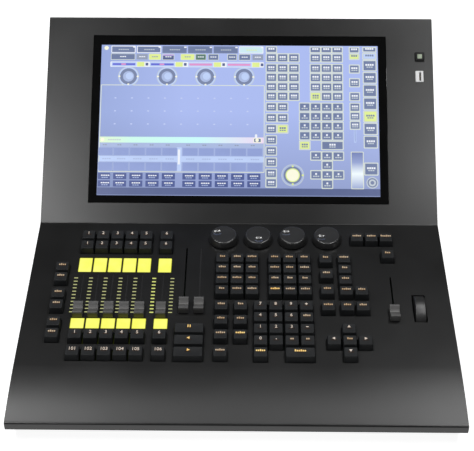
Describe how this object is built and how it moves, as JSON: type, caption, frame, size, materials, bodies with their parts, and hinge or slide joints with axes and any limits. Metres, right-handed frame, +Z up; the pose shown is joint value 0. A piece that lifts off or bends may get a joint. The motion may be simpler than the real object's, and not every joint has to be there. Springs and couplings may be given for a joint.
{
  "type": "lighting control desk",
  "caption": "Compact stage lighting desk: folded steel case, sloping touch screen, playback faders with label displays, key mats, encoder dials and a level wheel.",
  "frame": {"origin": "centre of the footprint, on the surface that the feet stand on", "axes": "+X to the operator's right, +Y from the operator towards the rear panel, +Z up"},
  "size_m": [0.532, 0.559, 0.2591],
  "materials": {
    "powder_coat": "satin black powder coat on folded steel",
    "rubber_foot": "matte black rubber",
    "screen_glass": "black-bordered touch glass over a lit display",
    "alloy_case": "plain aluminium housing",
    "port_shell": "bright tinned shell",
    "label_display": "yellow back-lit label display",
    "led_bar": "smoked light bar with yellow segments",
    "circuit_board": "green solder mask",
    "connector_plastic": "moulded black thermoplastic",
    "key_cap": "satin black key cap with a back-lit legend",
    "fader_cap": "satin grey cap with a white centre line",
    "encoder_dial": "soft satin black moulding",
    "level_wheel": "polished black",
    "gloss_button": "polished black"
  },
  "bodies": {
    "desk": {"top_panel": "powder_coat", "base_pan": "powder_coat", "side_panel_left": "powder_coat", "side_panel_right": "powder_coat", "rear_panel": "powder_coat", "foot_front_left": "rubber_foot", "foot_front_right": "rubber_foot", "foot_rear_left": "rubber_foot", "foot_rear_right": "rubber_foot", "screen_glass": "screen_glass", "display_module": "alloy_case", "label_displays_upper": "label_display", "label_displays_lower": "label_display", "led_bar_board": "led_bar", "playback_board": "circuit_board", "programmer_board": "circuit_board", "main_board": "circuit_board", "power_supply": "alloy_case", "mains_inlet": "connector_plastic", "dmx_socket_left": "connector_plastic", "dmx_socket_right": "connector_plastic", "network_usb_ports": "port_shell", "screen_usb_port": "port_shell"},
    "upper_exec_keys_back": {"upper_exec_keys_back": "key_cap"},
    "upper_exec_keys_front": {"upper_exec_keys_front": "key_cap"},
    "exec_keys_back": {"exec_keys_back": "key_cap"},
    "exec_keys_front": {"exec_keys_front": "key_cap"},
    "page_keys_back": {"page_keys_back": "key_cap"},
    "page_keys_middle": {"page_keys_middle": "key_cap"},
    "page_keys_front": {"page_keys_front": "key_cap"},
    "pause_key": {"pause_key": "key_cap"},
    "go_back_key": {"go_back_key": "key_cap"},
    "go_forward_key": {"go_forward_key": "key_cap"},
    "preset_keypad": {"preset_keypad": "key_cap"},
    "command_keypad": {"command_keypad": "key_cap"},
    "object_keys": {"object_keys": "key_cap"},
    "store_key": {"store_key": "key_cap"},
    "number_keypad": {"number_keypad": "key_cap"},
    "shift_key": {"shift_key": "key_cap"},
    "enter_key": {"enter_key": "key_cap"},
    "view_keys": {"view_keys": "key_cap"},
    "cursor_keys": {"cursor_keys": "key_cap"},
    "menu_keys": {"menu_keys": "key_cap"},
    "blackout_key": {"blackout_key": "key_cap"},
    "exec_fader_1": {"exec_fader_1": "fader_cap"},
    "exec_fader_2": {"exec_fader_2": "fader_cap"},
    "exec_fader_3": {"exec_fader_3": "fader_cap"},
    "exec_fader_4": {"exec_fader_4": "fader_cap"},
    "exec_fader_5": {"exec_fader_5": "fader_cap"},
    "exec_fader_6": {"exec_fader_6": "fader_cap"},
    "crossfader_a": {"crossfader_a": "fader_cap"},
    "crossfader_b": {"crossfader_b": "fader_cap"},
    "master_fader": {"master_fader": "fader_cap"},
    "encoder_dial_1": {"encoder_dial_1": "encoder_dial"},
    "encoder_dial_2": {"encoder_dial_2": "encoder_dial"},
    "encoder_dial_3": {"encoder_dial_3": "encoder_dial"},
    "encoder_dial_4": {"encoder_dial_4": "encoder_dial"},
    "level_wheel": {"level_wheel": "level_wheel"},
    "screen_button": {"screen_button": "gloss_button"},
    "power_rocker": {"power_rocker": "gloss_button"}
  },
  "joints": [
    {"name": "upper_exec_keys_back_press", "type": "slide", "parent": "desk", "child": "upper_exec_keys_back", "axis": [0, 0.0872, -0.9962], "range_m": [0, 0.0025], "stiffness_N_per_m": 490, "springref_m": -0.001},
    {"name": "upper_exec_keys_front_press", "type": "slide", "parent": "desk", "child": "upper_exec_keys_front", "axis": [0, 0.0872, -0.9962], "range_m": [0, 0.0025], "stiffness_N_per_m": 490, "springref_m": -0.001},
    {"name": "exec_keys_back_press", "type": "slide", "parent": "desk", "child": "exec_keys_back", "axis": [0, 0.0872, -0.9962], "range_m": [0, 0.0025], "stiffness_N_per_m": 490, "springref_m": -0.001},
    {"name": "exec_keys_front_press", "type": "slide", "parent": "desk", "child": "exec_keys_front", "axis": [0, 0.0872, -0.9962], "range_m": [0, 0.0025], "stiffness_N_per_m": 490, "springref_m": -0.001},
    {"name": "page_keys_back_press", "type": "slide", "parent": "desk", "child": "page_keys_back", "axis": [0, 0.0872, -0.9962], "range_m": [0, 0.0025], "stiffness_N_per_m": 283, "springref_m": -0.001},
    {"name": "page_keys_middle_press", "type": "slide", "parent": "desk", "child": "page_keys_middle", "axis": [0, 0.0872, -0.9962], "range_m": [0, 0.0025], "stiffness_N_per_m": 283, "springref_m": -0.001},
    {"name": "page_keys_front_press", "type": "slide", "parent": "desk", "child": "page_keys_front", "axis": [0, 0.0872, -0.9962], "range_m": [0, 0.0025], "stiffness_N_per_m": 283, "springref_m": -0.001},
    {"name": "pause_key_press", "type": "slide", "parent": "desk", "child": "pause_key", "axis": [0, 0.0872, -0.9962], "range_m": [0, 0.0025], "stiffness_N_per_m": 250, "springref_m": -0.001},
    {"name": "go_back_key_press", "type": "slide", "parent": "desk", "child": "go_back_key", "axis": [0, 0.0872, -0.9962], "range_m": [0, 0.0025], "stiffness_N_per_m": 250, "springref_m": -0.001},
    {"name": "go_forward_key_press", "type": "slide", "parent": "desk", "child": "go_forward_key", "axis": [0, 0.0872, -0.9962], "range_m": [0, 0.0025], "stiffness_N_per_m": 250, "springref_m": -0.001},
    {"name": "preset_keypad_press", "type": "slide", "parent": "desk", "child": "preset_keypad", "axis": [0, 0.0872, -0.9962], "range_m": [0, 0.0025], "stiffness_N_per_m": 693, "springref_m": -0.001},
    {"name": "command_keypad_press", "type": "slide", "parent": "desk", "child": "command_keypad", "axis": [0, 0.0872, -0.9962], "range_m": [0, 0.0025], "stiffness_N_per_m": 693, "springref_m": -0.001},
    {"name": "object_keys_press", "type": "slide", "parent": "desk", "child": "object_keys", "axis": [0, 0.0872, -0.9962], "range_m": [0, 0.0025], "stiffness_N_per_m": 490, "springref_m": -0.001},
    {"name": "store_key_press", "type": "slide", "parent": "desk", "child": "store_key", "axis": [0, 0.0872, -0.9962], "range_m": [0, 0.0025], "stiffness_N_per_m": 250, "springref_m": -0.001},
    {"name": "number_keypad_press", "type": "slide", "parent": "desk", "child": "number_keypad", "axis": [0, 0.0872, -0.9962], "range_m": [0, 0.0025], "stiffness_N_per_m": 800, "springref_m": -0.001},
    {"name": "shift_key_press", "type": "slide", "parent": "desk", "child": "shift_key", "axis": [0, 0.0872, -0.9962], "range_m": [0, 0.0025], "stiffness_N_per_m": 250, "springref_m": -0.001},
    {"name": "enter_key_press", "type": "slide", "parent": "desk", "child": "enter_key", "axis": [0, 0.0872, -0.9962], "range_m": [0, 0.0025], "stiffness_N_per_m": 250, "springref_m": -0.001},
    {"name": "view_keys_press", "type": "slide", "parent": "desk", "child": "view_keys", "axis": [0, 0.0872, -0.9962], "range_m": [0, 0.0025], "stiffness_N_per_m": 663, "springref_m": -0.001},
    {"name": "cursor_keys_press", "type": "slide", "parent": "desk", "child": "cursor_keys", "axis": [0, 0.0872, -0.9962], "range_m": [0, 0.0025], "stiffness_N_per_m": 447, "springref_m": -0.001},
    {"name": "menu_keys_press", "type": "slide", "parent": "desk", "child": "menu_keys", "axis": [0, 0.0872, -0.9962], "range_m": [0, 0.0025], "stiffness_N_per_m": 346, "springref_m": -0.001},
    {"name": "blackout_key_press", "type": "slide", "parent": "desk", "child": "blackout_key", "axis": [0, 0.0872, -0.9962], "range_m": [0, 0.0025], "stiffness_N_per_m": 250, "springref_m": -0.001},
    {"name": "exec_fader_1_slide", "type": "slide", "parent": "desk", "child": "exec_fader_1", "axis": [0, 0.9962, 0.0872], "range_m": [0, 0.06]},
    {"name": "exec_fader_2_slide", "type": "slide", "parent": "desk", "child": "exec_fader_2", "axis": [0, 0.9962, 0.0872], "range_m": [0, 0.06]},
    {"name": "exec_fader_3_slide", "type": "slide", "parent": "desk", "child": "exec_fader_3", "axis": [0, 0.9962, 0.0872], "range_m": [0, 0.06]},
    {"name": "exec_fader_4_slide", "type": "slide", "parent": "desk", "child": "exec_fader_4", "axis": [0, 0.9962, 0.0872], "range_m": [0, 0.06]},
    {"name": "exec_fader_5_slide", "type": "slide", "parent": "desk", "child": "exec_fader_5", "axis": [0, 0.9962, 0.0872], "range_m": [0, 0.06]},
    {"name": "exec_fader_6_slide", "type": "slide", "parent": "desk", "child": "exec_fader_6", "axis": [0, 0.9962, 0.0872], "range_m": [0, 0.06]},
    {"name": "crossfader_a_slide", "type": "slide", "parent": "desk", "child": "crossfader_a", "axis": [0, 0.9962, 0.0872], "range_m": [0, 0.1]},
    {"name": "crossfader_b_slide", "type": "slide", "parent": "desk", "child": "crossfader_b", "axis": [0, 0.9962, 0.0872], "range_m": [0, 0.1]},
    {"name": "master_fader_slide", "type": "slide", "parent": "desk", "child": "master_fader", "axis": [0, 0.9962, 0.0872], "range_m": [0, 0.06]},
    {"name": "encoder_dial_1_turn", "type": "hinge", "parent": "desk", "child": "encoder_dial_1", "pos_m": [-0.0197, 0.01811, 0.06866], "axis": [0, -0.0872, 0.9962], "continuous": true},
    {"name": "encoder_dial_2_turn", "type": "hinge", "parent": "desk", "child": "encoder_dial_2", "pos_m": [0.02565, 0.01811, 0.06866], "axis": [0, -0.0872, 0.9962], "continuous": true},
    {"name": "encoder_dial_3_turn", "type": "hinge", "parent": "desk", "child": "encoder_dial_3", "pos_m": [0.071, 0.01811, 0.06866], "axis": [0, -0.0872, 0.9962], "continuous": true},
    {"name": "encoder_dial_4_turn", "type": "hinge", "parent": "desk", "child": "encoder_dial_4", "pos_m": [0.11635, 0.01811, 0.06866], "axis": [0, -0.0872, 0.9962], "continuous": true},
    {"name": "level_wheel_turn", "type": "hinge", "parent": "desk", "child": "level_wheel", "pos_m": [0.2264, -0.10191, 0.04189], "axis": [1, 0, 0], "continuous": true},
    {"name": "screen_button_press", "type": "slide", "parent": "desk", "child": "screen_button", "axis": [0, 0.6307, -0.776], "range_m": [0, 0.0015], "stiffness_N_per_m": 300, "springref_m": -0.001},
    {"name": "power_rocker_tip", "type": "hinge", "parent": "desk", "child": "power_rocker", "pos_m": [-0.213, 0.26401, 0.052], "axis": [1, 0, 0], "range_deg": [0, 20]}
  ]
}
